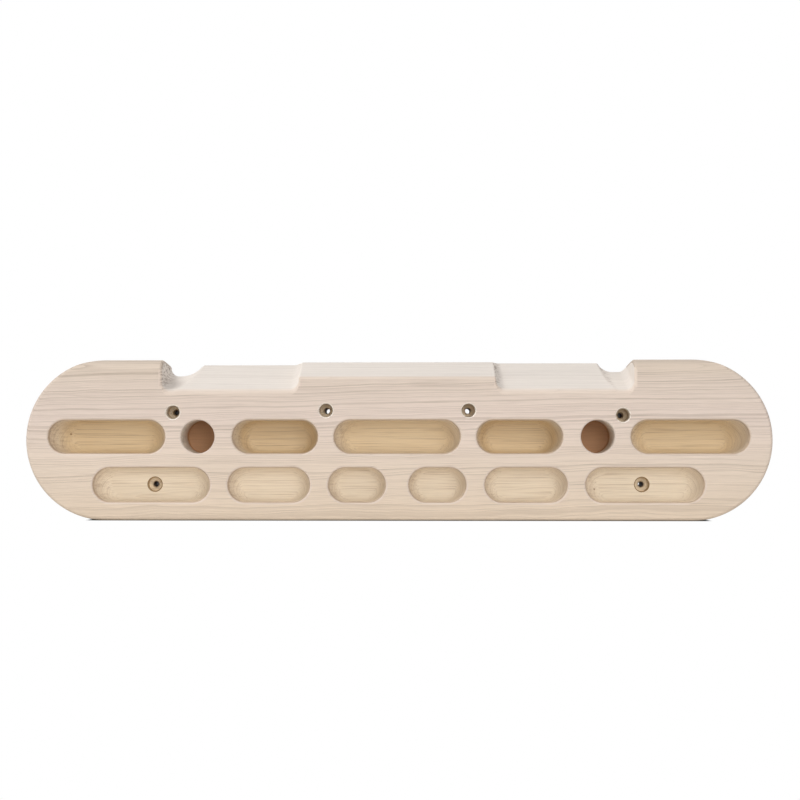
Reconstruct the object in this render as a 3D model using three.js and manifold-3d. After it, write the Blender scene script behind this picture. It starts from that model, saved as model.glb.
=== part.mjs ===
// A wooden hangboard: two planks glued face to face, then milled with finger pockets, round
// holes, jugs, slopers, a stand slot and counterbored screw holes.
// Millimetres. X runs along the board, -Y is the climber's side, +Y the wall, +Z is up. The
// origin lies on the resting face, midway along the board and midway through it.
import * as THREE from 'three';
import { mergeVertices } from 'three/addons/utils/BufferGeometryUtils.js';
import Module from 'manifold-3d';

// The two planks, and the rounding that runs round both faces' edges
const frontPlankThickness = 27.5;
const backPlankThickness = 27.5;
const edgeRound = 2.5;

// Upper row of holds, from the middle of the board outwards
const middlePocketLength = 101;
const middleWeb = 13.6;
const upperThreeFingerLength = 68.4;
const roundHoleInnerWeb = 14.7;
const roundHoleDiameter = 27;
const roundHoleOuterWeb = 13.3;
const upperFourFingerLength = 94;
const endMargin = 18.5;
const upperPocketHeight = 26.6;
const middlePocketDepth = 30;
const upperThreeFingerDepth = 38;
const upperFourFingerDepth = 33;
const roundHoleDepth = 42;

// Lower row, from the middle outwards
const lowerMiddleWeb = 19.2;
const twoFingerLength = 45.4;
const twoFingerWeb = 15.6;
const lowerThreeFingerLength = 65.4;
const lowerThreeFingerWeb = 15.2;
const lowerFourFingerLength = 94;
const lowerPocketHeight = 27.4;
const lowerPocketDepth = 20;

// Heights of the rows and of the brow above them
const bottomMargin = 15;
const rowWeb = 11.7;
const browHeight = 24.3;

// Rims and floors of the holds. A pocket's sides meet its floor in a fillet, and its ends
// curve down to the floor in a longer quarter ellipse, the ramp.
const pocketRim = 2;
const pocketFillet = 6;
const rampHeightShare = 0.75;
const middleRamp = 12;
const upperThreeFingerRamp = 12;
const upperFourFingerRamp = 16;
const twoFingerRamp = 8;
const lowerThreeFingerRamp = 10;
const lowerFourFingerRamp = 13;
const roundHoleRim = 1.2;
const roundHoleFillet = 1.5;

// Jugs at both ends: a thick rounded lip that falls away towards the wall
const jugLength = 110;
const jugRise = 25;
const jugLipHeight = 9;
const jugLipDepth = 19;
const jugIncut = 3;
const jugIncutPower = 1.2;
const jugCornerRound = 2.5;

// Slopers between the jugs and the middle block
const leftSloperAngle = THREE.MathUtils.degToRad(22.9);
const rightSloperAngle = THREE.MathUtils.degToRad(24.1);
const sloperRound = 6;
const wallFillet = 6.5;
const leftGrooveRadius = 25;
const rightGrooveRadius = 14;
const leftGrooveFlat = 1;
const rightGrooveFlat = 5;
const leftGrooveRise = 13.7;
const rightGrooveRise = 17.1;
const creaseBlend = 1.5;

// Middle block, with its sloping brow and the stand slot behind its ridge
const blockLength = 158.5;
const blockRise = 10;
const blockDrop = 1.2;
const blockAngle = THREE.MathUtils.degToRad(23.2);
const blockRound = 2.5;
const blockFillet = 7.5;
const blockCornerRound = 1.5;
const slotLength = 110;
const slotWidth = 12;
const slotDepth = 15;
const slotRim = 1;
const slotFillet = 2;
const slotBackLip = 8;
const backRound = 2;

// Screw holes: a flat counterbore with a chamfered pilot hole through its seat
const counterboreDiameter = 11;
const upperCounterboreDepth = 18;
const lowerCounterboreDepth = 6;
const pilotDiameter = 4.5;
const pilotChamfer = 1.2;
const innerScrewRise = 7.8;
const leftOuterScrewRise = 6.4;
const rightOuterScrewRise = 4;

// How far every cutter runs past the wood, and how coarsely its arcs are cut
const overrun = 5;
const endArcSteps = 24;
const pocketArcSteps = 8;
const rampSteps = 6;
const edgeSteps = 3;
const filletSteps = 4;
const lipSteps = 6;
const slopeSteps = 4;
const roundHoleSides = 32;
const screwHoleSides = 20;
const weldTolerance = 1e-4;

const woodColor = '#e3d3c4';
const woodRoughness = 0.62;

// Places that follow from the sizes above
const boardDepth = frontPlankThickness + backPlankThickness;
const faceY = -boardDepth / 2;
const glueY = faceY + frontPlankThickness;
const backY = boardDepth / 2;

const upperThreeFingerX = middlePocketLength / 2 + middleWeb + upperThreeFingerLength / 2;
const upperThreeFingerEnd = upperThreeFingerX + upperThreeFingerLength / 2;
const roundHoleX = upperThreeFingerEnd + roundHoleInnerWeb + roundHoleDiameter / 2;
const roundHoleEnd = roundHoleX + roundHoleDiameter / 2;
const upperFourFingerX = roundHoleEnd + roundHoleOuterWeb + upperFourFingerLength / 2;
const boardLength = 2 * (upperFourFingerX + upperFourFingerLength / 2 + endMargin);

const twoFingerX = lowerMiddleWeb / 2 + twoFingerLength / 2;
const twoFingerEnd = twoFingerX + twoFingerLength / 2;
const lowerThreeFingerX = twoFingerEnd + twoFingerWeb + lowerThreeFingerLength / 2;
const lowerThreeFingerEnd = lowerThreeFingerX + lowerThreeFingerLength / 2;
const lowerFourFingerX = lowerThreeFingerEnd + lowerThreeFingerWeb + lowerFourFingerLength / 2;

const lowerRowZ = bottomMargin + lowerPocketHeight / 2;
const upperRowZ = bottomMargin + lowerPocketHeight + rowWeb + upperPocketHeight / 2;
const upperRowTop = upperRowZ + upperPocketHeight / 2;
const sloperFrontZ = upperRowTop + browHeight;
const boardHeight = sloperFrontZ + jugRise;
const blockTopZ = boardHeight - blockDrop;
const jugWallX = boardLength / 2 - jugLength;
const blockSideX = blockLength / 2;

const innerScrewX = middlePocketLength / 2 + middleWeb / 2;
const outerScrewX = roundHoleEnd + roundHoleOuterWeb / 2;

const wasm = await Module();
wasm.setup();

// Three.js geometry to a solid for cutting
function toSolid(geometry) {
  const bare = geometry.clone();
  bare.deleteAttribute('normal');
  bare.deleteAttribute('uv');
  const merged = mergeVertices(bare, weldTolerance);
  const vertProperties = new Float32Array(merged.attributes.position.array);
  const triVerts = new Uint32Array(merged.index.array);
  return new wasm.Manifold(new wasm.Mesh({ numProp: 3, vertProperties, triVerts }));
}

// A solid back to three.js geometry, its glue face set exactly on the glue plane
function toGeometry(solid) {
  const { numProp, vertProperties, triVerts } = solid.getMesh();
  const positions = new Float32Array(vertProperties.length / numProp * 3);
  for (let vertex = 0; vertex < positions.length / 3; vertex += 1) {
    const [x, y, z] = vertProperties.subarray(vertex * numProp, vertex * numProp + 3);
    const onGluePlane = Math.abs(y - glueY) < weldTolerance;
    positions.set([x, onGluePlane ? glueY : y, z], vertex * 3);
  }
  const geometry = new THREE.BufferGeometry();
  geometry.setAttribute('position', new THREE.BufferAttribute(positions, 3));
  geometry.setIndex(new THREE.BufferAttribute(new Uint32Array(triVerts), 1));
  geometry.computeVertexNormals();
  return geometry;
}

function meshGeometry(points, index) {
  const geometry = new THREE.BufferGeometry();
  geometry.setAttribute('position', new THREE.Float32BufferAttribute(points.flat(), 3));
  geometry.setIndex(index);
  return geometry;
}

// Closed body through flat convex rings, each with the same number of points
function loft(rings) {
  const count = rings[0].length;
  const last = (rings.length - 1) * count;
  const index = [];
  for (let start = 0; start < last; start += count) {
    for (let i = 0; i < count; i += 1) {
      const here = start + i;
      const next = start + (i + 1) % count;
      index.push(here, here + count, next, next, here + count, next + count);
    }
  }
  for (let i = 1; i < count - 1; i += 1) {
    index.push(0, i, i + 1, last, last + i + 1, last + i);
  }
  return meshGeometry(rings.flat(), index);
}

// Closed body that fills the space above a surface; surfaceAt gives [x, z] for a column and depth
function bodyAbove(columns, depths, surfaceAt) {
  const topZ = boardHeight + overrun;
  const points = [];
  for (const depth of depths) {
    for (const column of columns) {
      const [x, z] = surfaceAt(column, depth);
      points.push([x, faceY + depth, z], [x, faceY + depth, topZ]);
    }
  }
  const low = (i, j) => 2 * (j * columns.length + i);
  const high = (i, j) => low(i, j) + 1;
  const index = [];
  const quad = (a, b, c, d) => index.push(a, b, c, a, c, d);
  const right = columns.length - 1;
  const back = depths.length - 1;
  for (let i = 0; i < right; i += 1) {
    for (let j = 0; j < back; j += 1) {
      quad(high(i, j), high(i + 1, j), high(i + 1, j + 1), high(i, j + 1));
      quad(low(i, j), low(i, j + 1), low(i + 1, j + 1), low(i + 1, j));
    }
    quad(low(i, 0), low(i + 1, 0), high(i + 1, 0), high(i, 0));
    quad(low(i + 1, back), low(i, back), high(i, back), high(i + 1, back));
  }
  for (let j = 0; j < back; j += 1) {
    quad(low(0, j + 1), low(0, j), high(0, j), high(0, j + 1));
    quad(low(right, j), low(right, j + 1), high(right, j + 1), high(right, j));
  }
  return meshGeometry(points, index);
}

// Distances from 0 to radius, closer together where an arc that starts there is steep
function arcStations(radius, steps) {
  const stations = [];
  for (let step = 0; step <= steps; step += 1) {
    stations.push(radius * (1 - Math.cos(step / steps * Math.PI / 2)));
  }
  return stations;
}

// Even distances between two ends, without the ends themselves
function evenStations(from, to, steps) {
  const stations = [];
  for (let step = 1; step < steps; step += 1) {
    stations.push(from + (to - from) * step / steps);
  }
  return stations;
}

// Height of a quarter-round fillet over the floor it joins, at a distance from its wall
function filletRise(radius, distance) {
  if (distance >= radius) return 0;
  return radius - Math.sqrt(radius ** 2 - (radius - Math.max(distance, 0)) ** 2);
}

// Height of a slope that climbs from the climber's face and is rounded over at that face
function roundedSlope(frontZ, angle, radius, depth) {
  if (depth >= radius * (1 - Math.sin(angle))) return frontZ + depth * Math.tan(angle);
  const centreZ = frontZ + radius * Math.tan(angle) - radius / Math.cos(angle);
  return centreZ + Math.sqrt(radius ** 2 - (radius - Math.max(depth, 0)) ** 2);
}

// How far a top surface drops where it meets the wall side
function backDrop(depth) {
  return filletRise(backRound, boardDepth - depth);
}

function jugSurface(x, depth) {
  const corner = filletRise(jugCornerRound, x - jugWallX);
  const inside = Math.min(Math.max(depth, 0), boardDepth);
  if (inside < jugLipDepth) {
    const toCrest = 1 - inside / jugLipDepth;
    return [x, boardHeight - corner - jugLipHeight * (1 - Math.sqrt(1 - toCrest ** 2))];
  }
  const fall = ((inside - jugLipDepth) / (boardDepth - jugLipDepth)) ** jugIncutPower;
  return [x, boardHeight - corner - jugIncut * fall - backDrop(depth)];
}

// The lower of two heights, eased where they meet
function softMin(one, other, blend) {
  if (blend <= 0) return Math.min(one, other);
  const near = Math.max(1 - Math.abs(one - other) / blend, 0);
  return Math.min(one, other) - blend / 4 * near ** 2;
}

// Height of a sloper, or of a groove in it, at a depth
function slopeHeight(angle, depth) {
  return roundedSlope(sloperFrontZ, angle, sloperRound, depth) - backDrop(depth);
}

function sloperSurface(x, depth, { angle, grooveRise, grooveFlat, grooveRadius }) {
  const slope = slopeHeight(angle, depth);
  const groove = slopeHeight(Math.atan(grooveRise / boardDepth), depth);
  const fromWall = jugWallX - x;
  const fromBlock = x - blockSideX;
  if (fromBlock < blockFillet) {
    const spread = fromBlock === 0 ? filletRise(blockCornerRound, depth) : 0;
    return [x - spread, slope + filletRise(blockFillet, fromBlock)];
  }
  if (fromWall < wallFillet) {
    const spread = fromWall === 0 ? filletRise(jugCornerRound, depth) : 0;
    return [x + spread, groove + filletRise(wallFillet, fromWall)];
  }
  const across = Math.min(Math.max(fromWall - wallFillet - grooveFlat, 0), grooveRadius);
  const grooveSide = groove + grooveRadius - Math.sqrt(grooveRadius ** 2 - across ** 2);
  return [x, softMin(slope, grooveSide, Math.min(creaseBlend, (slope - groove) / 2))];
}

// The block's corners round off only as far as its sides stand clear above the fillets
function blockSurface(x, depth) {
  const brow = roundedSlope(sloperFrontZ + blockRise, blockAngle, blockRound, depth);
  const height = Math.min(brow, blockTopZ - backDrop(depth));
  const slope = slopeHeight(x < 0 ? leftSloperAngle : rightSloperAngle, depth);
  const clear = Math.max(height - slope - blockFillet, 0);
  const corner = Math.min(filletRise(blockCornerRound, blockSideX - Math.abs(x)), clear);
  return [x, Math.abs(x) > blockSideX ? Math.max(height - corner, slope) : height - corner];
}

// Cutters for the top of the board, with columns along X and stations through the depth
function topCutters() {
  const backStations = arcStations(backRound, edgeSteps).map((d) => boardDepth - d).reverse();
  const ends = [...backStations, boardDepth + overrun];

  const jugDepths = [-overrun, ...arcStations(jugLipDepth, lipSteps),
    ...evenStations(jugLipDepth, boardDepth - backRound, slopeSteps), ...ends];
  const jugColumns = [jugWallX - wallFillet,
    ...arcStations(jugCornerRound, edgeSteps).map((d) => jugWallX + d),
    boardLength / 2 + overrun];

  const sloperDepths = [-overrun, ...arcStations(sloperRound, filletSteps),
    ...evenStations(sloperRound, boardDepth - backRound, slopeSteps), ...ends];
  const sloperColumns = ({ grooveFlat, grooveRadius }) => {
    const grooveEnd = jugWallX - wallFillet - grooveFlat;
    const grooveStart = grooveEnd - grooveRadius;
    return [...arcStations(blockFillet, filletSteps).map((d) => blockSideX + d),
      grooveStart, ...evenStations(grooveStart, grooveEnd, lipSteps), grooveEnd,
      ...arcStations(wallFillet, filletSteps).map((d) => jugWallX - d).reverse()];
  };

  const ridgeDepth = (blockTopZ - sloperFrontZ - blockRise) / Math.tan(blockAngle);
  const blockDepths = [-overrun, ...arcStations(blockRound, edgeSteps), ridgeDepth,
    ...evenStations(ridgeDepth, boardDepth - backRound, slopeSteps), ...ends];
  const halfBlock = [blockSideX + blockFillet,
    ...arcStations(blockCornerRound, edgeSteps).map((d) => blockSideX - d)];
  const blockColumns = [...halfBlock.map((x) => -x), ...halfBlock.toReversed()];

  const cutters = [bodyAbove(blockColumns, blockDepths, blockSurface)];
  for (const side of [-1, 1]) {
    const order = (columns) => (side < 0 ? columns.toReversed() : columns);
    const sloper = side < 0
      ? { angle: leftSloperAngle, grooveRise: leftGrooveRise, grooveFlat: leftGrooveFlat,
        grooveRadius: leftGrooveRadius }
      : { angle: rightSloperAngle, grooveRise: rightGrooveRise, grooveFlat: rightGrooveFlat,
        grooveRadius: rightGrooveRadius };
    const mirrored = ([x, z]) => [side * x, z];
    cutters.push(bodyAbove(order(jugColumns), jugDepths,
      (x, depth) => mirrored(jugSurface(x, depth))));
    cutters.push(bodyAbove(order(sloperColumns(sloper)), sloperDepths,
      (x, depth) => mirrored(sloperSurface(x, depth, sloper))));
  }
  return cutters;
}

// The board before it is cut: a bar with half-round ends and rounded edges
function blank() {
  const radius = boardHeight / 2;
  const straight = boardLength / 2 - radius;
  const outline = new THREE.Shape();
  outline.moveTo(-straight, 0);
  outline.lineTo(straight, 0);
  outline.absarc(straight, radius, radius, -Math.PI / 2, Math.PI / 2, false);
  outline.lineTo(-straight, boardHeight);
  outline.absarc(-straight, radius, radius, Math.PI / 2, Math.PI * 3 / 2, false);
  const geometry = new THREE.ExtrudeGeometry(outline, {
    depth: boardDepth - 2 * edgeRound,
    bevelThickness: edgeRound,
    bevelSize: edgeRound,
    bevelOffset: -edgeRound,
    bevelSegments: edgeSteps,
    curveSegments: endArcSteps,
  });
  geometry.rotateX(Math.PI / 2);
  geometry.translate(0, backY - edgeRound, 0);
  return geometry;
}

// How far a wall has curved in, at some height over the floor that it curves down to
function curvedIn(reach, height, overFloor) {
  if (overFloor >= height) return 0;
  return reach * (1 - Math.sqrt(1 - (1 - overFloor / height) ** 2));
}

// Cutter for a pocket or slot with half-round ends, a rounded rim and a curved floor. The place
// function turns distances along it, across it and into the wood to a point.
function slotCutter({ length, width, depth, rim, fillet, ramp, rampHeight }, place) {
  const sections = [[-overrun, -rim, 0]];
  for (let step = 0; step <= edgeSteps; step += 1) {
    const turn = step / edgeSteps * Math.PI / 2;
    sections.push([rim * (1 - Math.cos(turn)), rim * (Math.sin(turn) - 1), 0]);
  }
  for (let step = 0; step <= rampSteps; step += 1) {
    const overFloor = rampHeight * (1 - Math.sin(step / rampSteps * Math.PI / 2));
    const side = curvedIn(fillet, fillet, overFloor);
    sections.push([depth - overFloor, side, curvedIn(ramp, rampHeight, overFloor) - side]);
  }
  const straight = (length - width) / 2;
  return loft(sections.map(([into, side, shorter]) => {
    const radius = width / 2 - side;
    const ring = [];
    for (const end of [1, -1]) {
      for (let step = 0; step <= pocketArcSteps; step += 1) {
        const turn = (step / pocketArcSteps - 1 / 2) * Math.PI;
        const along = end * (straight - shorter + radius * Math.cos(turn));
        ring.push(place(along, end * radius * Math.sin(turn), into));
      }
    }
    return ring;
  }));
}

function pocketCutters() {
  const upper = { z: upperRowZ, width: upperPocketHeight };
  const lower = { z: lowerRowZ, width: lowerPocketHeight, depth: lowerPocketDepth };
  const pairs = [
    { ...upper, x: upperThreeFingerX, length: upperThreeFingerLength,
      depth: upperThreeFingerDepth, ramp: upperThreeFingerRamp },
    { ...upper, x: upperFourFingerX, length: upperFourFingerLength,
      depth: upperFourFingerDepth, ramp: upperFourFingerRamp },
    { ...lower, x: twoFingerX, length: twoFingerLength, ramp: twoFingerRamp },
    { ...lower, x: lowerThreeFingerX, length: lowerThreeFingerLength,
      ramp: lowerThreeFingerRamp },
    { ...lower, x: lowerFourFingerX, length: lowerFourFingerLength, ramp: lowerFourFingerRamp },
  ];
  const pockets = [{ ...upper, x: 0, length: middlePocketLength, depth: middlePocketDepth,
    ramp: middleRamp }];
  for (const pair of pairs) {
    pockets.push({ ...pair, x: -pair.x }, pair);
  }
  return pockets.map(({ x, z, ...shape }) => slotCutter(
    { ...shape, rim: pocketRim, fillet: pocketFillet, rampHeight: rampHeightShare * shape.depth },
    (along, across, into) => [x + along, faceY + into, z + across],
  ));
}

function standSlotCutter() {
  const y = backY - slotBackLip - slotWidth / 2;
  return slotCutter({ length: slotLength, width: slotWidth, depth: slotDepth, rim: slotRim,
    fillet: slotFillet, ramp: slotFillet, rampHeight: slotFillet },
  (along, across, into) => [along, y + across, blockTopZ - into]);
}

// Turned cutter on the board's Y direction; its profile is [radius, depth] from axis to axis
function turnedCutter(profile, sides, x, z) {
  const points = profile.map(([radius, depth]) => new THREE.Vector2(radius, depth));
  const geometry = new THREE.LatheGeometry(points, sides);
  geometry.translate(x, faceY, z);
  return geometry;
}

function roundHoleCutters() {
  const radius = roundHoleDiameter / 2;
  const profile = [[0, -overrun], [radius + roundHoleRim, -overrun]];
  for (let step = 0; step <= edgeSteps; step += 1) {
    const turn = step / edgeSteps * Math.PI / 2;
    profile.push([radius + roundHoleRim * (1 - Math.sin(turn)), roundHoleRim * (1 - Math.cos(turn))]);
  }
  profile.push([radius, roundHoleDepth - roundHoleFillet]);
  profile.push([radius - roundHoleFillet, roundHoleDepth], [0, roundHoleDepth]);
  return [-roundHoleX, roundHoleX].map((x) => turnedCutter(profile, roundHoleSides, x, upperRowZ));
}

function screwHoleCutters() {
  const holes = [
    { x: -outerScrewX, z: upperRowTop + leftOuterScrewRise, seat: upperCounterboreDepth },
    { x: -innerScrewX, z: upperRowTop + innerScrewRise, seat: upperCounterboreDepth },
    { x: innerScrewX, z: upperRowTop + innerScrewRise, seat: upperCounterboreDepth },
    { x: outerScrewX, z: upperRowTop + rightOuterScrewRise, seat: upperCounterboreDepth },
    { x: -lowerFourFingerX, z: lowerRowZ, seat: lowerPocketDepth + lowerCounterboreDepth },
    { x: lowerFourFingerX, z: lowerRowZ, seat: lowerPocketDepth + lowerCounterboreDepth },
  ];
  const pilotRadius = pilotDiameter / 2;
  return holes.map(({ x, z, seat }) => turnedCutter([
    [0, -overrun],
    [counterboreDiameter / 2, -overrun],
    [counterboreDiameter / 2, seat],
    [pilotRadius + pilotChamfer, seat],
    [pilotRadius, seat + pilotChamfer],
    [pilotRadius, boardDepth + overrun],
    [0, boardDepth + overrun],
  ], screwHoleSides, x, z));
}

// Box that holds one plank's share of the board, with its glue face on the glue plane
function plankSpace(fromY, toY) {
  const geometry = new THREE.BoxGeometry(boardLength + 2 * overrun, toY - fromY,
    boardHeight + 2 * overrun);
  geometry.translate(0, (fromY + toY) / 2, boardHeight / 2);
  return toSolid(geometry);
}

function plank(name, solid) {
  const material = new THREE.MeshStandardMaterial({
    color: woodColor,
    roughness: woodRoughness,
    metalness: 0,
    flatShading: true,
  });
  const mesh = new THREE.Mesh(toGeometry(solid), material);
  mesh.name = name;
  return mesh;
}

let board = toSolid(blank());
const cutters = [...topCutters(), ...pocketCutters(), standSlotCutter(), ...roundHoleCutters(),
  ...screwHoleCutters()];
for (const cutter of cutters) {
  board = board.subtract(toSolid(cutter));
}

const hangboard = new THREE.Group();
hangboard.name = 'hangboard';
hangboard.add(plank('front_plank', board.intersect(plankSpace(faceY - overrun, glueY))));
hangboard.add(plank('back_plank', board.intersect(plankSpace(glueY, backY + overrun))));

export default hangboard;
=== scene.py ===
# A wooden hangboard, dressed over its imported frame.
# Metres in Blender, millimetres in the dictionaries. +X along the board, -Y the climber's side.
import math
import bpy
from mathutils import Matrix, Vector


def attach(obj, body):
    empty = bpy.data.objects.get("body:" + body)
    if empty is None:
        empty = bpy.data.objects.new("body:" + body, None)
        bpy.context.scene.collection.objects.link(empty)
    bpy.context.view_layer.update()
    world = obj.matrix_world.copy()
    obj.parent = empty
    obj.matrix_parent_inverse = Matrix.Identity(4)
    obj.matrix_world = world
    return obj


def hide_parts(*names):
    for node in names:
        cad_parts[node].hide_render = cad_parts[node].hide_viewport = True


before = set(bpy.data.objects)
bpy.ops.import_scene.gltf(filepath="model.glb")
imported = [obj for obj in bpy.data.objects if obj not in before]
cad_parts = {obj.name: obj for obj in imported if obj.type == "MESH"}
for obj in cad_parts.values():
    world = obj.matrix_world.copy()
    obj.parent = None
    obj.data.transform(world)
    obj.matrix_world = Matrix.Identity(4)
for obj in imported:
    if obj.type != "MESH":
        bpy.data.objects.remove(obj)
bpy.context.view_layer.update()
mm = 0.001

# The whole blank. Behind gluedAt the wood comes from another plank.
board = {
    "length": 600, "height": 130, "depth": 55, "gluedAt": 0, "edgeRound": 2.5,
    "sloperFront": 105, "jugLength": 110, "blockLength": 158.5, "backRound": 2,
}
faceY = -board["depth"] / 2
backY = board["depth"] / 2
overrun = 5                    # how far a cutter reaches past the wood that it cuts
creaseAngle = 28               # edges that bend more than this, in degrees, stay crisp


def linearColour(hexValue):
    parts = [int(hexValue[i:i + 2], 16) / 255 for i in (1, 3, 5)]
    return [p / 12.92 if p <= 0.04045 else ((p + 0.055) / 1.055) ** 2.4 for p in parts] + [1.0]


# Adds a node; inputs take numbers, colours or another node's output
def addNode(tree, kind, inputs=None, **settings):
    node = tree.nodes.new(kind)
    for key, value in settings.items():
        setattr(node, key, value)
    for socket, value in (inputs or {}).items():
        if isinstance(value, bpy.types.NodeSocket):
            tree.links.new(value, node.inputs[socket])
        else:
            node.inputs[socket].default_value = value
    return node


def meshObject(name, points, faces=(), edges=(), material=None):
    mesh = bpy.data.meshes.new(name)
    mesh.from_pydata([[c * mm for c in p] for p in points], list(edges), list(faces))
    if material:
        mesh.materials.append(material)
    obj = bpy.data.objects.new(name, mesh)
    bpy.context.collection.objects.link(obj)
    return obj


# Sizes of the grain. The fibres of real poplar are finer than a pixel, so they are drawn coarser.
grain = {
    "ringSpacing": 1.4,        # between growth rings, through the wood
    "pithDepth": 220,          # the tree's middle, behind the middle of the board
    "pithHeight": -60,
    "pithRise": 0.02,          # how much the middle climbs along the board
    "waveLength": 140,         # slow wander of the rings along the grain
    "waveWidth": 50,
    "waveSize": 2.6,
    "streakLength": 55,        # darker threads along the grain
    "streakWidth": 0.6,
    "fibreLength": 12,
    "fibreWidth": 0.6,
    "patchLength": 130,
    "patchWidth": 20,
    "mottleHeight": 1.5,       # fibres torn along the cutter's axis where it met the end grain
    "mottleDepth": 9,
    "mottleLength": 8,
    "lateWood": 4,             # the higher, the thinner the dark line of each ring
    "faintestRing": 0.35,      # against the strongest
    "unevenYears": 4.0,        # how far wide and narrow years shift a ring, in rings
    "unevenOften": 0.35,
    "glueLine": 0.12,          # half the width of the line where the planks meet
    "backPlankJump": (730, -22, 310),    # where the back plank lay in the tree
    "backPlankPith": (26.0, 34.0),       # how much further back and higher its middle is
    "pinKnots": [(-270, 69.6, 1.1), (159.5, 25, 0.9)],    # x, height, radius
}


# Solid wood grain: growth rings round an axis along X, with threads, fibres and patches of tone
def makeGrainGroup():
    tree = bpy.data.node_groups.new("poplar_grain", "ShaderNodeTree")
    for name in ("Ring", "Streak", "Fibre", "Patch", "Mottle", "End", "RightFacing", "Depth", "Height",
                 "Glue", "Pin"):
        tree.interface.new_socket(name, in_out="OUTPUT", socket_type="NodeSocketFloat")
    place = addNode(tree, "ShaderNodeTexCoord")
    inMm = addNode(tree, "ShaderNodeVectorMath", {0: place.outputs["Object"], "Scale": 1 / mm},
                   operation="SCALE").outputs[0]
    apart = addNode(tree, "ShaderNodeSeparateXYZ", {0: inMm}).outputs
    depth, height = apart["Y"], apart["Z"]
    flat = addNode(tree, "ShaderNodeCombineXYZ", {"X": apart["X"], "Z": height}).outputs[0]
    pin = 0.0
    for x, z, radius in grain["pinKnots"]:
        off = addNode(tree, "ShaderNodeVectorMath", {0: flat, 1: (x, 0, z)},
                      operation="DISTANCE").outputs["Value"]
        spot = addNode(tree, "ShaderNodeMapRange", {"Value": off, "From Min": radius,
                       "From Max": radius * 0.4}, interpolation_type="SMOOTHSTEP").outputs[0]
        pin = addNode(tree, "ShaderNodeMath", {0: spot, 1: pin}, operation="MAXIMUM").outputs[0]

    # the back plank is cut from elsewhere in the tree, so its grain starts somewhere else
    behind = addNode(tree, "ShaderNodeMath", {0: depth, 1: board["gluedAt"]},
                     operation="GREATER_THAN").outputs[0]
    jump = addNode(tree, "ShaderNodeVectorMath", {0: grain["backPlankJump"],
                   "Scale": behind}, operation="SCALE").outputs[0]
    pithBack, pithUp = grain["backPlankPith"]
    wood = addNode(tree, "ShaderNodeVectorMath", {0: inMm, 1: jump}, operation="ADD").outputs[0]

    wanderAt = addNode(tree, "ShaderNodeVectorMath", {0: wood, 1: (
        1 / grain["waveLength"], 1 / grain["waveWidth"], 1 / grain["waveWidth"])},
        operation="MULTIPLY").outputs[0]
    wander = addNode(tree, "ShaderNodeTexNoise", {"Vector": wanderAt, "Scale": 1.0, "Detail": 3.0,
                     "Roughness": 0.5}).outputs["Color"]
    centred = addNode(tree, "ShaderNodeVectorMath", {0: wander, 1: (0.5, 0.5, 0.5)},
                      operation="SUBTRACT").outputs[0]
    push = addNode(tree, "ShaderNodeVectorMath", {0: centred, "Scale": 2 * grain["waveSize"]},
                   operation="SCALE").outputs[0]
    moved = addNode(tree, "ShaderNodeVectorMath", {0: inMm, 1: push}, operation="ADD").outputs[0]
    xyz = addNode(tree, "ShaderNodeSeparateXYZ", {0: moved})
    climb = addNode(tree, "ShaderNodeMath", {0: xyz.outputs["X"], 1: grain["pithRise"],
                    2: grain["pithHeight"]}, operation="MULTIPLY_ADD").outputs[0]
    higher = addNode(tree, "ShaderNodeMath", {0: behind, 1: pithUp, 2: climb},
                     operation="MULTIPLY_ADD").outputs[0]
    up = addNode(tree, "ShaderNodeMath", {0: xyz.outputs["Z"], 1: higher},
                 operation="SUBTRACT").outputs[0]
    further = addNode(tree, "ShaderNodeMath", {0: behind, 1: pithBack, 2: grain["pithDepth"]},
                      operation="MULTIPLY_ADD").outputs[0]
    back = addNode(tree, "ShaderNodeMath", {0: xyz.outputs["Y"], 1: further},
                   operation="SUBTRACT").outputs[0]
    across = addNode(tree, "ShaderNodeCombineXYZ", {"X": up, "Y": back}).outputs[0]
    radius = addNode(tree, "ShaderNodeVectorMath", {0: across}, operation="LENGTH").outputs["Value"]
    turns = addNode(tree, "ShaderNodeMath", {0: radius, 1: grain["ringSpacing"]},
                    operation="DIVIDE").outputs[0]
    # uneven years: some rings are wide, some narrow
    years = addNode(tree, "ShaderNodeTexNoise", {"W": turns, "Detail": 2.0,
                    "Scale": grain["unevenOften"]}, noise_dimensions="1D").outputs["Fac"]
    uneven = addNode(tree, "ShaderNodeMath", {0: years, 1: grain["unevenYears"], 2: turns},
                     operation="MULTIPLY_ADD").outputs[0]
    season = addNode(tree, "ShaderNodeMath", {0: uneven}, operation="FRACT").outputs[0]
    # late wood darkens slowly, then the next year starts at once
    late = addNode(tree, "ShaderNodeMath", {0: season, 1: grain["lateWood"]},
                   operation="POWER").outputs[0]
    year = addNode(tree, "ShaderNodeMath", {0: uneven}, operation="FLOOR").outputs[0]
    strength = addNode(tree, "ShaderNodeTexWhiteNoise", {"W": year},
                       noise_dimensions="1D").outputs["Value"]
    strong = addNode(tree, "ShaderNodeMapRange", {"Value": strength,
                     "To Min": grain["faintestRing"], "To Max": 1.0}).outputs[0]
    ring = addNode(tree, "ShaderNodeMath", {0: late, 1: strong}, operation="MULTIPLY").outputs[0]

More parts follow.
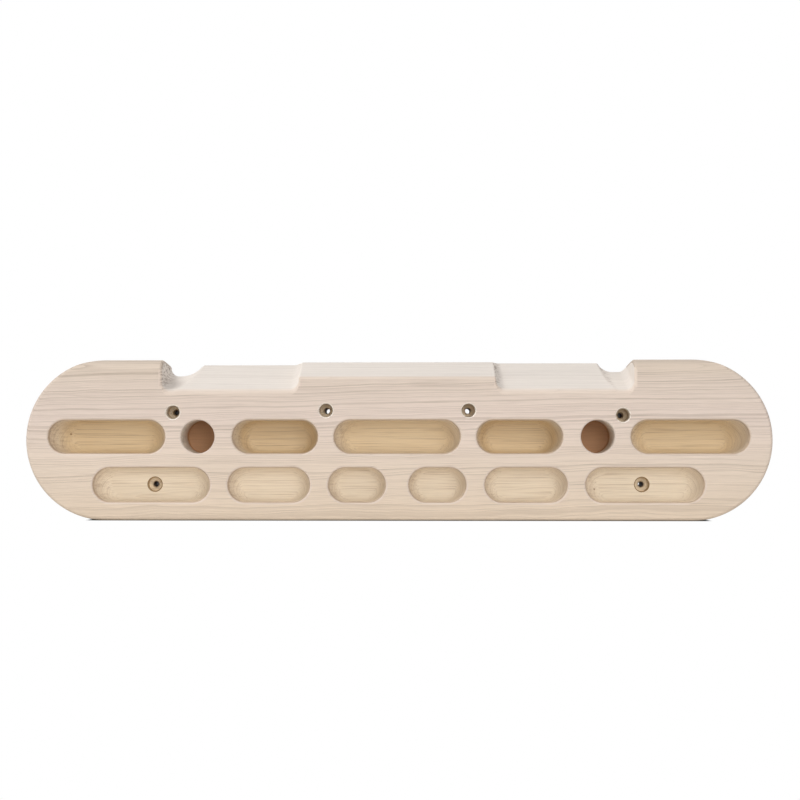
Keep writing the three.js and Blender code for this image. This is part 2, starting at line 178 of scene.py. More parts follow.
    sizes = {"Streak": ("streakLength", "streakWidth", "streakWidth"),
             "Fibre": ("fibreLength", "fibreWidth", "fibreWidth"),
             "Patch": ("patchLength", "patchWidth", "patchWidth"),
             "Mottle": ("mottleLength", "mottleDepth", "mottleHeight")}
    noises = {}
    for name, lengths in sizes.items():
        at = addNode(tree, "ShaderNodeVectorMath", {0: wood, 1: [1 / grain[l] for l in lengths]},
                     operation="MULTIPLY").outputs[0]
        noise = addNode(tree, "ShaderNodeTexNoise", {"Vector": at, "Scale": 1.0, "Detail": 2.0,
                        "Roughness": 0.55}).outputs["Fac"]
        noises[name] = addNode(tree, "ShaderNodeMapRange", {"Value": noise, "From Min": 0.3,
                               "From Max": 0.7, "To Min": -1.0, "To Max": 1.0}).outputs[0]
    # only the darkest threads show, and torn fibres fade out softly
    for name, faintest in (("Streak", 0.25), ("Mottle", -0.3)):
        noises[name] = addNode(tree, "ShaderNodeMapRange", {"Value": noises[name],
                               "From Min": faintest, "From Max": 1.0}).outputs[0]
    facing = addNode(tree, "ShaderNodeSeparateXYZ", {0: place.outputs["Normal"]}).outputs["X"]
    end = addNode(tree, "ShaderNodeMath", {0: facing}, operation="ABSOLUTE").outputs[0]
    # ends that face right, away from the light, take painted shade in the finishes, and only they
    # show the mottles of fibres that tore
    rightFacing = addNode(tree, "ShaderNodeMapRange", {"Value": facing, "From Min": 0.1,
                   "From Max": 0.9}).outputs[0]
    # threads are seen from the side only; cut across they would be dots
    side = addNode(tree, "ShaderNodeMath", {0: 1.0, 1: end}, operation="SUBTRACT").outputs[0]
    noises["Streak"] = addNode(tree, "ShaderNodeMath", {0: noises["Streak"], 1: side},
                               operation="MULTIPLY").outputs[0]
    fromGlue = addNode(tree, "ShaderNodeMath", {0: depth, 1: board["gluedAt"],
                       2: grain["glueLine"]}, operation="COMPARE").outputs[0]
    addNode(tree, "NodeGroupOutput", {"Ring": ring, "End": end, "RightFacing": rightFacing, "Depth": depth,
            "Height": height, "Glue": fromGlue, "Pin": pin, **noises})
    return tree


grainGroup = makeGrainGroup()


# What every finish shares: how much fibres and patches change the tone, how dark the glue line
# and the pin knots are, and how the surface feels
finish = {"fibres": 0.03, "patches": 0.03, "glueLine": 0.12, "pinKnots": 0.7,
          "roughness": 0.6, "roughnessRange": 0.05, "relief": 0.05, "lineDepth": 2.0}


# One wood, finished in several ways. Its tones stand in the order of the given measure, in mm:
# Depth in from the climber's face, or Height over the resting edge.
def woodMaterial(name, measure, tones, lineHex, rings=0.45, endRings=0.8, streaks=0.3,
                 endGrainDarkOrPaintedLit=0.05, rightFacingShade=0.0, mottles=0.3):
    material = bpy.data.materials.new(name)
    material.use_nodes = True
    tree = material.node_tree
    tree.nodes.clear()
    wood = addNode(tree, "ShaderNodeGroup", node_tree=grainGroup).outputs
    first, last = (faceY, backY) if measure == "Depth" else (0, board["height"])
    along = addNode(tree, "ShaderNodeMapRange", {"Value": wood[measure], "From Min": first,
                    "From Max": last}).outputs[0]
    ramp = addNode(tree, "ShaderNodeValToRGB", {"Fac": along})
    stops = ramp.color_ramp.elements
    for extra in tones[2:]:
        stops.new(1.0)
    for stop, (place, tone) in zip(stops, tones):
        stop.position, stop.color = place / (last - first), linearColour(tone)
    # End darkens end grain as its own colour, and with a negative share paints the ends lighter as
    # painted light
    tone = 1.0
    # RightFacing darkens the ends that face right: painted shade
    for part, share in (("Fibre", finish["fibres"]), ("Patch", finish["patches"]),
                        ("End", -endGrainDarkOrPaintedLit), ("RightFacing", -rightFacingShade)):
        tone = addNode(tree, "ShaderNodeMath", {0: wood[part], 1: share, 2: tone},
                       operation="MULTIPLY_ADD").outputs[0]
    toned = addNode(tree, "ShaderNodeVectorMath", {0: ramp.outputs["Color"], "Scale": tone},
                    operation="SCALE").outputs[0]
    # growth rings stand out more where the grain is cut across, and mottles show only on ends
    # facing right
    crossCut = addNode(tree, "ShaderNodeMapRange", {"Value": wood["End"], "From Min": 0.2,
                       "From Max": 0.9, "To Min": rings, "To Max": endRings})
    lines = addNode(tree, "ShaderNodeMath", {0: wood["Ring"], 1: crossCut.outputs[0]},
                    operation="MULTIPLY").outputs[0]
    endMottles = addNode(tree, "ShaderNodeMath", {0: wood["Mottle"], 1: wood["RightFacing"]},
                         operation="MULTIPLY").outputs[0]
    for part, share in ((wood["Streak"], streaks), (endMottles, mottles),
                        (wood["Glue"], finish["glueLine"]), (wood["Pin"], finish["pinKnots"])):
        lines = addNode(tree, "ShaderNodeMath", {0: part, 1: share, 2: lines},
                        operation="MULTIPLY_ADD", use_clamp=True).outputs[0]
    final = addNode(tree, "ShaderNodeMix", {"Factor": lines, 6: toned, 7: linearColour(lineHex)},
                    data_type="RGBA").outputs[2]
    roughness, spread = finish["roughness"], finish["roughnessRange"]
    rough = addNode(tree, "ShaderNodeMapRange", {"Value": wood["Fibre"], "From Min": -1.0,
                    "To Min": roughness - spread, "To Max": roughness + spread}).outputs[0]
    height = addNode(tree, "ShaderNodeMath", {0: lines, 1: -finish["lineDepth"], 2: wood["Fibre"]},
                     operation="MULTIPLY_ADD").outputs[0]
    raised = addNode(tree, "ShaderNodeBump", {"Height": height, "Strength": 1.0,
                     "Distance": finish["relief"] * mm}).outputs[0]
    shader = addNode(tree, "ShaderNodeBsdfPrincipled", {"Base Color": final, "Roughness": rough,
                     "Normal": raised, "IOR": 1.5})
    addNode(tree, "ShaderNodeOutputMaterial", {"Surface": shader.outputs[0]})
    return material


# Poplar planed and sanded by hand: pale and matt, yellower towards the heart at the resting edge
sandedWood = woodMaterial("sanded_poplar", "Height", [(4, "#dfccb6"), (45, "#e3d1bf"),
                          (82, "#e3d1c4"), (112, "#decdbe"), (122, "#d8c7b6")], "#83705d",
                          rings=0.48, streaks=0.22)
# The same wood shaped with a moulding cutter: cleaner, and paler partly as a painted sheen of light
# from above. Its ends are painted lighter as painted light, and those facing right painted darker
# as painted shade, with mottles where the fibres tore
topWoodSheenAndShade = woodMaterial("shaped_poplar_sheen_and_shade", "Depth", [(0.6, "#e1d0c1"), (3.4, "#ece3da")], "#7c5f48",
                       rings=0.16, endRings=0.1, streaks=0.12, endGrainDarkOrPaintedLit=-0.1, rightFacingShade=0.08,
                       mottles=0.75)
# Milled with a round-nosed cutter: the darker band at the rims is painted shade of the rim
# rounding; the floors are painted paler than the face against their shade, and warmer the deeper
# they lie as painted bounce light and shade
pocketWoodDepthShaded = woodMaterial("milled_poplar_depth_shaded", "Depth", [(0.3, "#e0cfc0"), (0.8, "#c4af99"),
                          (2.2, "#c4af99"), (3.8, "#dccbb7"), (7, "#f1e3d0"), (22, "#f3e4cc"),
                          (31, "#e9d2ac")], "#8c6640", rings=0.2,
                          endRings=0.75, streaks=0.4, endGrainDarkOrPaintedLit=0.03)
# Bored holes: the walls are painted paler as painted light against their shade, and the floors
# painted brown as painted shade deep in the bore
roundHoleWoodDeepShade = woodMaterial("deep_shaded_poplar", "Depth", [(0, "#dccbbd"), (2, "#f0e4d6"),
                             (33, "#eee0cf"), (41, "#c4956c")], "#6b4a32", rings=0.15, endRings=0.3,
                             streaks=0.1, mottles=0.15)
# Drilled clean: the bright rims are a painted highlight, the seats are pale, and the dark bands on
# the counterbore walls and the dark pilots are painted shade
screwWoodPaintedLight = woodMaterial("drilled_poplar_painted_light", "Depth", [(1, "#fbf2e6"), (15, "#eddcc2"),
                         (17.6, "#b39772"), (18, "#f6e4c8"), (18.4, "#f6e4c8"),
                         (19.6, "#8f7250"), (20.5, "#a88c66"), (22, "#dcc6a2"),
                         (26.4, "#f3e0c2"), (27.6, "#6e5236"), (45, "#5e442c")], "#8c6c48")


# Shape that every hold, hole and the bar itself follow: a turned profile, pulled apart along X
# by twice its third number, and set down once or as a pair either side of the middle.
def makeStadiumTree():
    tree = bpy.data.node_groups.new("pulled_apart_turning", "GeometryNodeTree")
    inputs = {"Profile": "Geometry", "Steps round": "Int", "Copies": "Int", "From middle": "Float",
              "Height left": "Float", "Height right": "Float", "Depth": "Float", "Tip": "Float",
              "Material": "Material"}
    for name, kind in inputs.items():
        tree.interface.new_socket(name, in_out="INPUT", socket_type="NodeSocket" + kind)
    tree.interface.new_socket("Geometry", in_out="OUTPUT", socket_type="NodeSocketGeometry")
    given = addNode(tree, "NodeGroupInput").outputs

    sections = addNode(tree, "GeometryNodeAttributeDomainSize",
                       {"Geometry": given["Profile"]}).outputs["Point Count"]
    around = addNode(tree, "ShaderNodeMath", {0: given["Steps round"], 1: 1.0},
                     operation="ADD").outputs[0]
    grid = addNode(tree, "GeometryNodeMeshGrid", {"Vertices X": sections, "Vertices Y": around})
    index = addNode(tree, "GeometryNodeInputIndex").outputs[0]
    row = addNode(tree, "ShaderNodeMath", {0: index, 1: around}, operation="DIVIDE").outputs[0]
    section = addNode(tree, "ShaderNodeMath", {0: row}, operation="FLOOR").outputs[0]
    step = addNode(tree, "ShaderNodeMath", {0: index, 1: around}, operation="MODULO").outputs[0]
    middle = addNode(tree, "ShaderNodeMath", {0: step, 1: 0.5}, operation="ADD").outputs[0]
    share = addNode(tree, "ShaderNodeMath", {0: middle, 1: given["Steps round"]},
                    operation="DIVIDE").outputs[0]
    angle = addNode(tree, "ShaderNodeMath", {0: share, 1: 2 * math.pi},
                    operation="MULTIPLY").outputs[0]
    position = addNode(tree, "GeometryNodeInputPosition").outputs[0]
    sampled = addNode(tree, "GeometryNodeSampleIndex", {"Geometry": given["Profile"],
                      "Value": position, "Index": section}, data_type="FLOAT_VECTOR").outputs[0]
    turned = addNode(tree, "ShaderNodeSeparateXYZ", {0: sampled}).outputs
    cosine = addNode(tree, "ShaderNodeMath", {0: angle}, operation="COSINE").outputs[0]
    sine = addNode(tree, "ShaderNodeMath", {0: angle}, operation="SINE").outputs[0]
    side = addNode(tree, "ShaderNodeMath", {0: cosine}, operation="SIGN").outputs[0]
    pulled = addNode(tree, "ShaderNodeMath", {0: side, 1: turned["Z"]},
                     operation="MULTIPLY").outputs[0]
    along = addNode(tree, "ShaderNodeMath", {0: cosine, 1: turned["X"], 2: pulled},
                    operation="MULTIPLY_ADD").outputs[0]
    across = addNode(tree, "ShaderNodeMath", {0: sine, 1: turned["X"]},
                     operation="MULTIPLY").outputs[0]
    point = addNode(tree, "ShaderNodeCombineXYZ", {"X": along, "Y": turned["Y"], "Z": across})
    shaped = addNode(tree, "GeometryNodeSetPosition", {"Geometry": grid.outputs["Mesh"],
                     "Position": point.outputs[0]}).outputs[0]
    welded = addNode(tree, "GeometryNodeMergeByDistance", {"Geometry": shaped,
                     "Distance": 0.002 * mm}).outputs[0]

    leftX = addNode(tree, "ShaderNodeMath", {0: given["From middle"], 1: -1.0},
                    operation="MULTIPLY").outputs[0]
    left = addNode(tree, "ShaderNodeCombineXYZ", {"X": leftX, "Y": given["Depth"],
                   "Z": given["Height left"]}).outputs[0]
    right = addNode(tree, "ShaderNodeCombineXYZ", {"X": given["From middle"],
                    "Y": given["Depth"], "Z": given["Height right"]}).outputs[0]
    places = addNode(tree, "GeometryNodeMeshLine", {"Count": given["Copies"],
                     "Start Location": left, "Offset": right}, mode="END_POINTS").outputs[0]
    tip = addNode(tree, "ShaderNodeCombineXYZ", {"X": given["Tip"]}).outputs[0]
    spread = addNode(tree, "GeometryNodeInstanceOnPoints", {"Points": places,
                     "Instance": welded, "Rotation": tip}).outputs[0]
    real = addNode(tree, "GeometryNodeRealizeInstances", {"Geometry": spread}).outputs[0]
    painted = addNode(tree, "GeometryNodeSetMaterial", {"Geometry": real,
                      "Material": given["Material"]}).outputs[0]
    addNode(tree, "NodeGroupOutput", {"Geometry": painted})
    return tree


stadiumTree = makeStadiumTree()


# profile is [radius, into the wood, half the straight length] in mm
def turnedShape(name, profile, material, height, heightRight=None, stepsRound=96, fromMiddle=0.0,
                depth=faceY, tip=0.0):
    edges = [(i, i + 1) for i in range(len(profile) - 1)]
    obj = meshObject(name, profile, edges=edges)
    modifier = obj.modifiers.new("turning", "NODES")
    modifier.node_group = stadiumTree
    values = {"Steps round": stepsRound, "Copies": 2 if fromMiddle else 1,
              "From middle": fromMiddle * mm, "Height left": height * mm,
              "Height right": (height if heightRight is None else heightRight) * mm,
              "Depth": depth * mm, "Tip": tip, "Material": material}
    for item in stadiumTree.interface.items_tree:
        if item.in_out == "INPUT" and item.name in values:
            modifier[item.identifier] = values[item.name]
    return obj


def quarterTurn(steps):
    return [math.pi / 2 * i / steps for i in range(steps + 1)]


# How far a wall has curved in, at a height over the floor that it curves down to
def curvedIn(reach, height, overFloor):
    if overFloor >= height:
        return 0.0
    return reach * (1 - math.sqrt(1 - (1 - overFloor / height) ** 2))


def pocketProfile(width, length, depth, rim, fillet, ramp, rampHeight):
    radius, straight = width / 2, (length - width) / 2
    profile = [(0, -overrun, straight), (radius + rim, -overrun, straight)]
    for turn in quarterTurn(8):
        profile.append((radius + rim * (1 - math.sin(turn)), rim * (1 - math.cos(turn)), straight))
    for turn in quarterTurn(18):
        over = rampHeight * (1 - math.sin(turn))
        side = curvedIn(fillet, fillet, over)
        shorter = curvedIn(ramp, rampHeight, over) - side
        profile.append((radius - side, depth - over, straight - shorter))
    profile.append((0, depth, profile[-1][2]))
    return profile


# Lengths, depths and places of the holds, from the middle outwards. A ramp is how far a pocket's
# ends curve in on their way down, over this share of its depth.
rampShare = 0.75
upperRow = {"height": 67.4, "width": 26.6, "rim": 2, "fillet": 6}
lowerRow = {"height": 28.7, "width": 27.4, "rim": 2, "fillet": 6, "depth": 20}
holds = {
    "middle_pocket": dict(upperRow, length=101, depth=30, ramp=12, fromMiddle=0),
    "upper_three_finger": dict(upperRow, length=68.4, depth=38, ramp=12, fromMiddle=98.3),
    "upper_four_finger": dict(upperRow, length=94, depth=33, ramp=16, fromMiddle=234.5),
    "two_finger": dict(lowerRow, length=45.4, ramp=8, fromMiddle=32.3),
    "lower_three_finger": dict(lowerRow, length=65.4, ramp=10, fromMiddle=103.3),
    "lower_four_finger": dict(lowerRow, length=94, ramp=13, fromMiddle=198.2),
}
roundHole = {"diameter": 27, "depth": 42, "rim": 1.2, "fillet": 1.5, "fromMiddle": 160.7}
screwHole = {"wide": 11, "pilot": 4.5, "chamfer": 1.2, "edge": 0.8, "through": 60}
screwPlaces = {
    "outer_screw_hole": {"fromMiddle": 180.85, "left": 87.1, "right": 84.7, "start": 0, "seat": 18},
    "inner_screw_hole": {"fromMiddle": 57.3, "left": 88.5, "right": 88.5, "start": 0, "seat": 18},
    "lower_screw_hole": {"fromMiddle": 198.2, "left": 28.7, "right": 28.7, "start": 20, "seat": 26},
}
standSlot = {"length": 110, "width": 12, "depth": 15, "rim": 1, "fillet": 2, "fromBack": 14,
             "top": 128.8}


def makeBar():
    radius, edge = board["height"] / 2, board["edgeRound"]
    straight = board["length"] / 2 - radius
    rounding = [(edge * (1 - math.sin(turn)), edge * (1 - math.cos(turn)))
                for turn in quarterTurn(6)]
    profile = [(0, faceY, straight)]
    profile += [(radius - inward, faceY + along, straight) for inward, along in rounding]
    profile += [(radius - inward, backY - along, straight) for inward, along in reversed(rounding)]
    profile.append((0, backY, straight))
    return turnedShape("bar", profile, sandedWood, stepsRound=240, height=radius, depth=0)


def makeHoldCutters():
    cutters = []
    for name, hold in holds.items():
        profile = pocketProfile(hold["width"], hold["length"], hold["depth"], hold["rim"],
                                hold["fillet"], hold["ramp"], rampShare * hold["depth"])
        cutters.append(turnedShape(name, profile, pocketWoodDepthShaded, fromMiddle=hold["fromMiddle"],
                                   height=hold["height"]))
    fillet = standSlot["fillet"]
    slot = pocketProfile(standSlot["width"], standSlot["length"], standSlot["depth"],
                         standSlot["rim"], fillet, fillet, fillet)
    cutters.append(turnedShape("stand_slot", slot, pocketWoodDepthShaded, stepsRound=64, tip=-math.pi / 2,
                               height=standSlot["top"], depth=backY - standSlot["fromBack"]))
    return cutters


def makeRoundHoleCutters():
    radius, rim, fillet, deep = (roundHole["diameter"] / 2, roundHole["rim"], roundHole["fillet"],
                                 roundHole["depth"])
    profile = [(0, -overrun, 0), (radius + rim, -overrun, 0)]
    profile += [(radius + rim * (1 - math.sin(turn)), rim * (1 - math.cos(turn)), 0)
                for turn in quarterTurn(6)]
    profile += [(radius, deep * part, 0) for part in (0.25, 0.5, 0.75)]
    profile += [(radius - fillet * (1 - math.cos(turn)), deep - fillet * (1 - math.sin(turn)), 0)
                for turn in quarterTurn(5)]
    profile.append((0, deep, 0))
    return [turnedShape("round_hole", profile, roundHoleWoodDeepShade, fromMiddle=roundHole["fromMiddle"],
                        height=upperRow["height"])]


def makeScrewHoleCutters():
    wide, pilot, edge = screwHole["wide"] / 2, screwHole["pilot"] / 2, screwHole["edge"]
    chamfer, through = screwHole["chamfer"], screwHole["through"]
    cutters = []
    for name, place in screwPlaces.items():
        start, seat = place["start"], place["seat"]
        profile = [(0, start - overrun, 0), (wide + edge, start - overrun, 0),
                   (wide + edge, start, 0), (wide, start + edge, 0), (wide, seat, 0),
                   (pilot + chamfer, seat, 0), (pilot, seat + chamfer, 0), (pilot, through, 0),
                   (0, through, 0)]
        cutters.append(turnedShape(name, profile, screwWoodPaintedLight, height=place["left"],
                                   heightRight=place["right"], stepsRound=64,
                                   fromMiddle=place["fromMiddle"]))
    return cutters


# The jugs, slopers and ridge along the upper edge
top = {
    "jugLipHeight": 9, "jugLipDepth": 19, "jugIncut": 3, "jugIncutPower": 1.2,
    "jugCornerRound": 2.5, "sloperRound": 6, "wallFillet": 6.5, "creaseBlend": 1.5,
    "left": {"slope": 22.9, "grooveRise": 13.7, "grooveFlat": 1, "grooveRadius": 25},
    "right": {"slope": 24.1, "grooveRise": 17.1, "grooveFlat": 5, "grooveRadius": 14},
    "blockRise": 10, "blockDrop": 1.2, "blockAngle": 23.2, "blockRound": 2.5, "blockFillet": 7.5,
    "blockCornerRound": 1.5,
}
jugWallX = board["length"] / 2 - board["jugLength"]
blockSideX = board["blockLength"] / 2


def arcStations(radius, steps):
    return [radius * (1 - math.cos(turn)) for turn in quarterTurn(steps)]


def evenStations(start, end, steps):
    return [start + (end - start) * i / steps for i in range(1, steps)]


def filletRise(radius, distance):
    if distance >= radius:
        return 0.0
    return radius - math.sqrt(radius ** 2 - (radius - max(distance, 0)) ** 2)


# Height of a slope that starts at the climber's face and is rounded over there
def roundedSlope(frontZ, angle, radius, depth):
    if depth >= radius * (1 - math.sin(angle)):
        return frontZ + depth * math.tan(angle)
    centreZ = frontZ + radius * math.tan(angle) - radius / math.cos(angle)
    return centreZ + math.sqrt(radius ** 2 - (radius - max(depth, 0)) ** 2)


def backDrop(depth):
    return filletRise(board["backRound"], board["depth"] - depth)


def jugSurface(x, depth):
    corner = filletRise(top["jugCornerRound"], x - jugWallX)
    inside, lip = min(max(depth, 0), board["depth"]), top["jugLipDepth"]
    if inside < lip:
        toCrest = 1 - inside / lip
        return x, board["height"] - corner - top["jugLipHeight"] * (1 - math.sqrt(1 - toCrest ** 2))
    fall = ((inside - lip) / (board["depth"] - lip)) ** top["jugIncutPower"]
    return x, board["height"] - corner - top["jugIncut"] * fall - backDrop(depth)


# The lower of two heights, eased where they meet
def softMin(one, other, blend):
    if blend <= 0:
        return min(one, other)
    near = max(1 - abs(one - other) / blend, 0)
    return min(one, other) - blend / 4 * near ** 2


# Height of a sloper, or of a groove in it, at a depth
def slopeHeight(angle, depth):
    return roundedSlope(board["sloperFront"], angle, top["sloperRound"], depth) - backDrop(depth)


def sloperSurface(x, depth, sloper):
    radius = sloper["grooveRadius"]
    slope = slopeHeight(math.radians(sloper["slope"]), depth)
    groove = slopeHeight(math.atan(sloper["grooveRise"] / board["depth"]), depth)
    fromWall, fromBlock = jugWallX - x, x - blockSideX
    if fromBlock < top["blockFillet"]:
        spread = filletRise(top["blockCornerRound"], depth) if fromBlock == 0 else 0
        return x - spread, slope + filletRise(top["blockFillet"], fromBlock)
    if fromWall < top["wallFillet"]:
        spread = filletRise(top["jugCornerRound"], depth) if fromWall == 0 else 0
        return x + spread, groove + filletRise(top["wallFillet"], fromWall)
    across = min(max(fromWall - top["wallFillet"] - sloper["grooveFlat"], 0), radius)
    side = groove + radius - math.sqrt(radius ** 2 - across ** 2)
    return x, softMin(slope, side, min(top["creaseBlend"], (slope - groove) / 2))


# The block's corners round off only as far as its sides stand clear above the fillets
def blockSurface(x, depth):
    brow = roundedSlope(board["sloperFront"] + top["blockRise"], math.radians(top["blockAngle"]),
                        top["blockRound"], depth)
    height = min(brow, board["height"] - top["blockDrop"] - backDrop(depth))
    slope = slopeHeight(math.radians(top["left" if x < 0 else "right"]["slope"]), depth)
    clear = max(height - slope - top["blockFillet"], 0)
    corner = min(filletRise(top["blockCornerRound"], blockSideX - abs(x)), clear)
    return x, max(height - corner, slope) if abs(x) > blockSideX else height - corner


# Closed body that fills the space above a surface
def bodyAbove(name, columns, depths, surfaceAt, material):
    topZ = board["height"] + overrun
    points, faces = [], []
    for depth in depths:
        for column in columns:
            x, z = surfaceAt(column, depth)
            points += [(x, faceY + depth, z), (x, faceY + depth, topZ)]
    wide, right, back = len(columns), len(columns) - 1, len(depths) - 1

    def low(i, j):
        return 2 * (j * wide + i)

    def high(i, j):
        return low(i, j) + 1
    for i in range(right):
        for j in range(back):
            faces.append((high(i, j), high(i + 1, j), high(i + 1, j + 1), high(i, j + 1)))
            faces.append((low(i, j), low(i, j + 1), low(i + 1, j + 1), low(i + 1, j)))
        faces.append((low(i, 0), low(i + 1, 0), high(i + 1, 0), high(i, 0)))
        faces.append((low(i + 1, back), low(i, back), high(i, back), high(i + 1, back)))
    for j in range(back):
        faces.append((low(0, j + 1), low(0, j), high(0, j), high(0, j + 1)))
        faces.append((low(right, j), low(right, j + 1), high(right, j + 1), high(right, j)))
    return meshObject(name, points, faces, material=material)


def makeTopCutters():
    deep = board["depth"]
    backStations = [deep - d for d in reversed(arcStations(board["backRound"], 5))]
    ends = backStations + [deep + overrun]
    jugDepths = ([-overrun] + arcStations(top["jugLipDepth"], 16)
                 + evenStations(top["jugLipDepth"], deep - board["backRound"], 16) + ends)
    jugColumns = ([jugWallX - top["wallFillet"]]
                  + [jugWallX + d for d in arcStations(top["jugCornerRound"], 8)]
                  + [board["length"] / 2 + overrun])
    sloperDepths = ([-overrun] + arcStations(top["sloperRound"], 10)
                    + evenStations(top["sloperRound"], deep - board["backRound"], 24) + ends)
    ridgeRise = board["height"] - top["blockDrop"] - board["sloperFront"] - top["blockRise"]
    ridgeDepth = ridgeRise / math.tan(math.radians(top["blockAngle"]))
    blockDepths = ([-overrun] + arcStations(top["blockRound"], 6) + [ridgeDepth]
                   + evenStations(ridgeDepth, deep - board["backRound"], 16) + ends)
    halfBlock = [blockSideX + top["blockFillet"]] + [blockSideX - d for d in
                                                      arcStations(top["blockCornerRound"], 5)]
    blockColumns = [-x for x in halfBlock] + halfBlock[::-1]
    cutters = [bodyAbove("block_top", blockColumns, blockDepths, blockSurface, topWoodSheenAndShade)]
    for side, word in ((-1, "left"), (1, "right")):
        sloper = top[word]
        grooveEnd = jugWallX - top["wallFillet"] - sloper["grooveFlat"]
        grooveStart = grooveEnd - sloper["grooveRadius"]
        sloperColumns = ([blockSideX + d for d in arcStations(top["blockFillet"], 10)]
                         + [grooveStart] + evenStations(grooveStart, grooveEnd, 40) + [grooveEnd]
                         + [jugWallX - d for d in reversed(arcStations(top["wallFillet"], 10))])

        def jugAt(x, depth):
            placed = jugSurface(abs(x), depth)
            return side * placed[0], placed[1]

        def sloperAt(x, depth):
            placed = sloperSurface(abs(x), depth, sloper)
            return side * placed[0], placed[1]
        cutters.append(bodyAbove(word + "_jug_top", sorted(side * x for x in jugColumns), jugDepths,
                                 jugAt, sandedWood))
        cutters.append(bodyAbove(word + "_sloper_top", sorted(side * x for x in sloperColumns),
                                 sloperDepths, sloperAt, topWoodSheenAndShade))
    return cutters


# The object's mesh with its modifiers done, and without the empty material slot of a bare profile
def realMesh(obj, name):
    shown = obj.evaluated_get(bpy.context.evaluated_depsgraph_get())
    mesh = bpy.data.meshes.new_from_object(shown)
    mesh.name = name
    for slot in reversed(range(len(mesh.materials))):
        if mesh.materials[slot] is None:
            mesh.materials.pop(index=slot)
    return mesh


def addBoolean(obj, other, operation):
    modifier = obj.modifiers.new(other.name, "BOOLEAN")
    modifier.operation, modifier.object = operation, other
    modifier.solver, modifier.material_mode = "MANIFOLD", "TRANSFER"


def cutPlank(name, cutters, fromY, toY):
    obj = makeBar()
    for cutter in cutters:
        addBoolean(obj, cutter, "DIFFERENCE")
    far = board["length"]
    points = [(x, y, z) for x in (-far, far) for y in (fromY, toY) for z in (-far, far)]
    faces = [(0, 1, 3, 2), (4, 6, 7, 5), (0, 4, 5, 1), (2, 3, 7, 6), (0, 2, 6, 4), (1, 5, 7, 3)]
    share = meshObject(name + "_share", points, faces, material=sandedWood)
    addBoolean(obj, share, "INTERSECT")
    mesh = realMesh(obj, name)
    bpy.data.objects.remove(share)
    bpy.data.objects.remove(obj)
    piece = bpy.data.objects.new(name, mesh)
    bpy.context.collection.objects.link(piece)
    mesh.shade_smooth()
    mesh.set_sharp_from_angle(angle=math.radians(creaseAngle))
    weigh = piece.modifiers.new("weights", "WEIGHTED_NORMAL")
    weigh.mode, weigh.weight, weigh.keep_sharp = "FACE_AREA", 100, True
    piece.data = realMesh(piece, name)
    piece.modifiers.clear()
    return piece


cutters = makeTopCutters() + makeHoldCutters() + makeRoundHoleCutters() + makeScrewHoleCutters()
print("cutters:", len(cutters))
frontPlank = cutPlank("front_plank_wood", cutters, faceY - overrun, board["gluedAt"])
backPlank = cutPlank("back_plank_wood", cutters, board["gluedAt"], backY + overrun)
for cutter in cutters:
    bpy.data.objects.remove(cutter)
for piece, node, slot in ((frontPlank, "front_plank", "front_wood"),
                          (backPlank, "back_plank", "back_wood")):
    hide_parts(node)
    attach(piece, "root")
    print(piece.name, len(piece.data.polygons), "faces", [m.name for m in piece.data.materials])

# Lamps: azimuth and elevation as seen from the climber's side, distance and size in metres,
# and how brightly each lights a surface that faces it, where 1 shows a colour as written.
studio = {
    "floorSize": 8.0,
    "shadowReach": 0.0025,     # metres of floor round the wood that darken
    "shadowEdge": (0.35, 0.85),          # openness where the shadow is full, and where it ends
    "shadowLeft": 0.02,        # light that is left in it
    "world": 0.36,
    "key": {"azimuth": -68, "elevation": 52, "distance": 3.0, "size": 1.4, "level": 0.46},
    "front": {"azimuth": 12, "elevation": 12, "distance": 3.5, "size": 2.2, "level": 0.45},
}


def shaderTree(owner):
    owner.use_nodes = True
    owner.node_tree.nodes.clear()
    return owner.node_tree


def makeFloor():
    half = studio["floorSize"] / 2 / mm
    corners = [(-half, -half, 0), (half, -half, 0), (half, half, 0), (-half, half, 0)]
    floor = meshObject("floor", corners, [(0, 1, 2, 3)])
    material = bpy.data.materials.new("white_studio_floor")
    tree = shaderTree(material)
    rays = addNode(tree, "ShaderNodeLightPath")
    # white to the camera, but for the shadow close round the wood
    openness = addNode(tree, "ShaderNodeAmbientOcclusion", {"Distance": studio["shadowReach"]},
                       samples=16).outputs["AO"]
    full, ended = studio["shadowEdge"]
    clear = addNode(tree, "ShaderNodeMapRange", {"Value": openness, "From Min": full,
                    "From Max": ended, "To Min": studio["shadowLeft"], "To Max": 1.0}).outputs[0]
    tone = addNode(tree, "ShaderNodeMix", {"Factor": clear, 6: linearColour("#40382f"),
                   7: linearColour("#f4f4f4")}, data_type="RGBA").outputs[2]
    paper = addNode(tree, "ShaderNodeBsdfDiffuse", {"Color": tone})
    glow = addNode(tree, "ShaderNodeEmission", {"Color": linearColour("#ffffff"),
                   "Strength": clear})
    mixed = addNode(tree, "ShaderNodeMixShader", {"Fac": rays.outputs["Is Camera Ray"],
                    1: paper.outputs[0], 2: glow.outputs[0]})
    addNode(tree, "ShaderNodeOutputMaterial", {"Surface": mixed.outputs[0]})
    floor.data.materials.append(material)


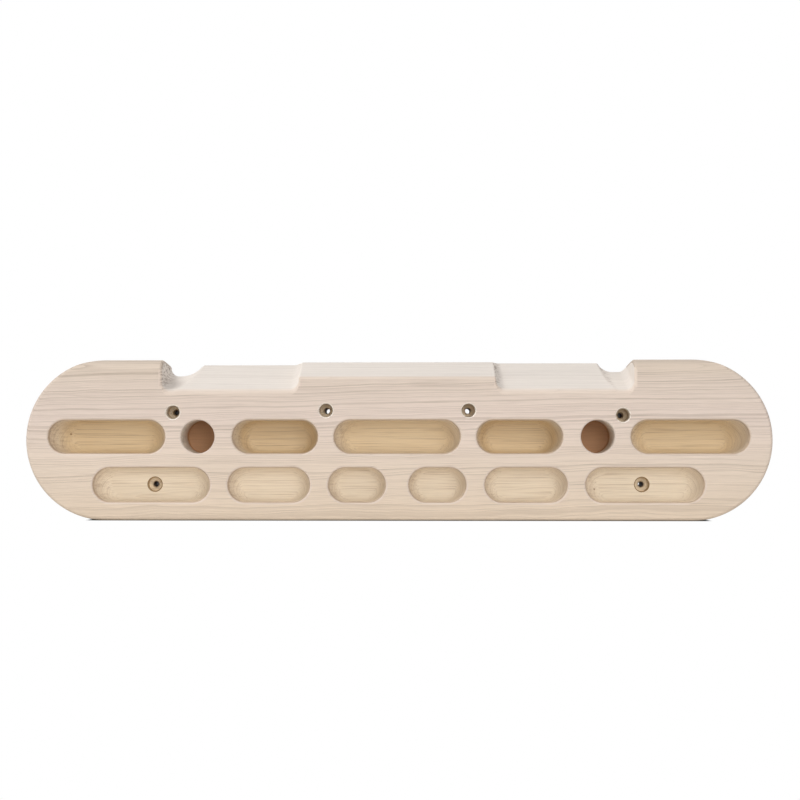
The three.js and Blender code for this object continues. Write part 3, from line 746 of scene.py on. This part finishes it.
def makeWorld():
    world = bpy.data.worlds.new("studio")
    bpy.context.scene.world = world
    tree = shaderTree(world)
    rays = addNode(tree, "ShaderNodeLightPath")
    seen = addNode(tree, "ShaderNodeMath", {0: rays.outputs["Is Camera Ray"],
                   1: rays.outputs["Is Glossy Ray"]}, operation="MAXIMUM").outputs[0]
    level = addNode(tree, "ShaderNodeMapRange", {"Value": seen, "To Min": studio["world"],
                    "To Max": 1.0}).outputs[0]
    light = addNode(tree, "ShaderNodeBackground", {"Color": linearColour("#ffffff"),
                    "Strength": level})
    addNode(tree, "ShaderNodeOutputWorld", {"Surface": light.outputs[0]})


def makeLamp(name, facts):
    lamp = bpy.data.lights.new(name, "AREA")
    lamp.shape, lamp.size = "SQUARE", facts["size"]
    lamp.energy = facts["level"] * (math.pi * facts["distance"]) ** 2
    obj = bpy.data.objects.new(name, lamp)
    bpy.context.collection.objects.link(obj)
    around, above = math.radians(facts["azimuth"]), math.radians(facts["elevation"])
    out = Vector((math.sin(around) * math.cos(above), -math.cos(around) * math.cos(above),
                  math.sin(above)))
    obj.location = out * facts["distance"]
    obj.rotation_euler = out.to_track_quat("Z", "Y").to_euler()


# Where the picture was taken from: metres from the middle, from the climber's face and over the
# floor, and degrees turned left and tilted up. Focal length and width are in pixels.
view = {"aside": 0.0167, "fromFace": 1.2853, "height": 0.0614, "turn": 1.5, "tilt": 1.58,
        "focal": 1601, "width": 800, "sensor": 36, "shift": 0.03}


def makeCamera():
    camera = bpy.data.cameras.new("camera")
    camera.sensor_width, camera.shift_x = view["sensor"], view["shift"]
    camera.lens = view["focal"] * view["sensor"] / view["width"]
    obj = bpy.data.objects.new("camera", camera)
    bpy.context.collection.objects.link(obj)
    obj.location = (view["aside"], faceY * mm - view["fromFace"], view["height"])
    obj.rotation_euler = (math.radians(90 + view["tilt"]), 0, math.radians(view["turn"]))
    bpy.context.scene.camera = obj


makeFloor()
makeWorld()
for lampName in ("key", "front"):
    makeLamp(lampName, studio[lampName])
makeCamera()
bpy.context.scene.view_settings.view_transform = "Standard"

print("finishing")
